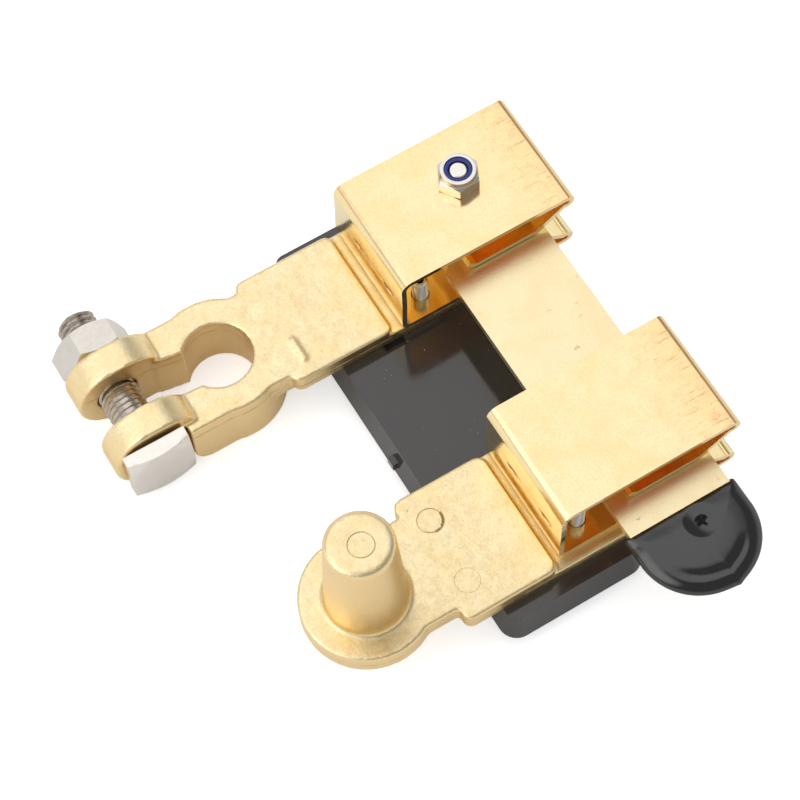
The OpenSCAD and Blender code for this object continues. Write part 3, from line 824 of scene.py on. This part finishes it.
def lighting():
    """A white light tent, with soft lights overhead and in front."""
    world = bpy.data.worlds.new("world")
    bpy.context.scene.world = world
    world.use_nodes = True
    tree = world.node_tree
    shader = tree.nodes["Background"]
    path = put(tree, "LightPath")
    seen = most(tree, path.outputs["Is Camera Ray"], path.outputs["Is Transmission Ray"])
    shader.inputs["Color"].default_value = (1, 1, 1, 1)
    upward = axis_of(tree, put(tree, "TexCoord").outputs["Generated"], "Z")
    mirrored = span(tree, upward, *TOP_FROM, WORLD_SIDES, WORLD_TOP)
    for direction, fade, full, power in (SOFT_LIGHT, FRONT_LIGHT):
        way = put(tree, "TexCoord").outputs["Generated"]
        facing = put(tree, "VectorMath", {0: way, 1: direction}, operation="DOT_PRODUCT")
        glow = span(tree, facing.outputs["Value"], fade, full, 0.0, power)
        mirrored = math_node(tree, "ADD", mirrored, glow)
    strength = span(tree, path.outputs["Is Glossy Ray"], 0.0, 1.0, WORLD_DIFFUSE, mirrored,
                    smooth=False)
    tree.links.new(most(tree, strength, seen), shader.inputs["Strength"])
    middle = Vector(LIT_MIDDLE) * MM
    for name, offset, size, power in LAMPS:
        offset = Vector(offset)
        data = bpy.data.lights.new(name, "AREA")
        data.shape = "RECTANGLE"
        data.size, data.size_y = size
        data.energy = power
        lamp = bpy.data.objects.new(name, data)
        bpy.context.scene.collection.objects.link(lamp)
        lamp.location = middle + offset
        lamp.visible_glossy = False
        lamp.rotation_mode = "QUATERNION"
        lamp.rotation_quaternion = (-offset).to_track_quat("-Z", "Y")


def floor():
    """A white floor under the part, which keeps a faint shadow."""
    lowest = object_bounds()[0].z
    corners = [(-1, -1), (1, -1), (1, 1), (-1, 1)]
    mesh = mesh_from("floor", [(x * FLOOR_SIDE, y * FLOOR_SIDE, 0) for x, y in corners],
                     [(0, 1, 2, 3)])
    obj = bpy.data.objects.new("floor", mesh)
    bpy.context.scene.collection.objects.link(obj)
    obj.location.z = lowest - 0.05 * MM
    mat, tree, shader = material("floor", (FLOOR_WHITE, FLOOR_WHITE, FLOOR_WHITE), 1.0)
    shader.inputs["Specular IOR Level"].default_value = 0.0
    path = put(tree, "LightPath")
    seen = most(tree, path.outputs["Is Camera Ray"], path.outputs["Is Transmission Ray"])
    strength = most(tree, times(tree, seen, FLOOR_GLOW),
                    times(tree, path.outputs["Is Glossy Ray"], FLOOR_GLOSS_GLOW))
    glow = put(tree, "Emission", {"Color": (1, 1, 1, 1), "Strength": strength})
    both = put(tree, "AddShader", {0: shader.outputs[0], 1: glow.outputs[0]})
    tree.links.new(both.outputs[0], tree.nodes["Material Output"].inputs["Surface"])
    mesh.materials.append(mat)
    obj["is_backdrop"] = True


# Marks of the mould's pins on the post arm and on the post's top, in millimetres, and their radius
PINS = ((62.9, 20.6, 12.8), (79.9, 20.3, 12.8))
POST_RING_X, POST_RING_Y = 71.5 * MM, -0.8 * MM
PIN_R = 3.0 * MM
# Voxel and smoothing passes that soften the castings
CAST_VOXEL = 0.42 * MM
CAST_PASSES = 6


def dress():
    """Gives every piece its look, and replaces the bolt, the jaw screws and the grip."""
    sheet = sheet_brass()
    hardware = steel("steel", roughness=0.24)
    black = gloss_black("black_plastic", MOULDED_BLACK, 0.1, (14 * MM, 0.05 * MM),
                        (1.6 * MM, 0.09, 0.72), (0.4, 3.0, 1.0))
    torn = (grip_lo[0] + DIMPLE_IN, (grip_lo[1] + grip_hi[1]) / 2 + DIMPLE_OFF,
            BLADE_Z + HOLE_DARK_Z)
    dipped = gloss_black("dipped_grip", DIPPED_BLACK, 0.07, (7 * MM, 0.08 * MM),
                         (2.2 * MM, 0.08, 0.78), (1, 1, 1), torn, 1.7)
    top_z = node_box("post_arm")[1][2]
    first, second = (tuple(v * MM for v in pin) for pin in PINS)
    post_ring = ((POST_RING_X, POST_RING_Y, top_z), PIN_R, 1.0)
    rings = [(first, PIN_R, 0.7), (second, PIN_R, 0.25), post_ring]
    nick = (first, PIN_R, (0.6, 0.8, 0.0))
    melt(nodes["clamp_arm"], cast_brass("cast_brass", []), CAST_VOXEL, CAST_PASSES)
    melt(nodes["post_arm"], cast_brass("cast_brass_post", rings, nick), CAST_VOXEL, CAST_PASSES)
    soften(nodes["base_plate"], black, 0.55 * MM, 3)
    for name in ("pivot_jaw", "contact_jaw"):
        soften(nodes[name], sheet, 0.16 * MM)
    soften(nodes["blade"], blade_brass(), 0.22 * MM)
    soften(nodes["pivot_bolt"], hardware, 0.15 * MM)
    soften(nodes["pivot_lock_nut"], steel("steel_nut", LOCK_NUT_STEEL, 0.18), 0.3 * MM, 3)
    soften(nodes["lock_nut_insert"], blue_nylon(), 0.12 * MM)
    soften(nodes["clamp_nut"], steel("steel_flats", NUT_STEEL, 0.2), 0.25 * MM)
    thread_to = node_box("clamp_bolt")[1][0] - BRIGHT_TO
    clamp_bolt(steel("steel_bolt", roughness=0.2, thread_to=thread_to))
    jaw_screws(hardware)
    handle_grip(dipped)


make_camera()
dress()
floor()
lighting()
bpy.context.scene.view_settings.view_transform = "Standard"
bpy.context.scene.cycles.max_bounces = 16
bpy.context.scene.cycles.glossy_bounces = 16
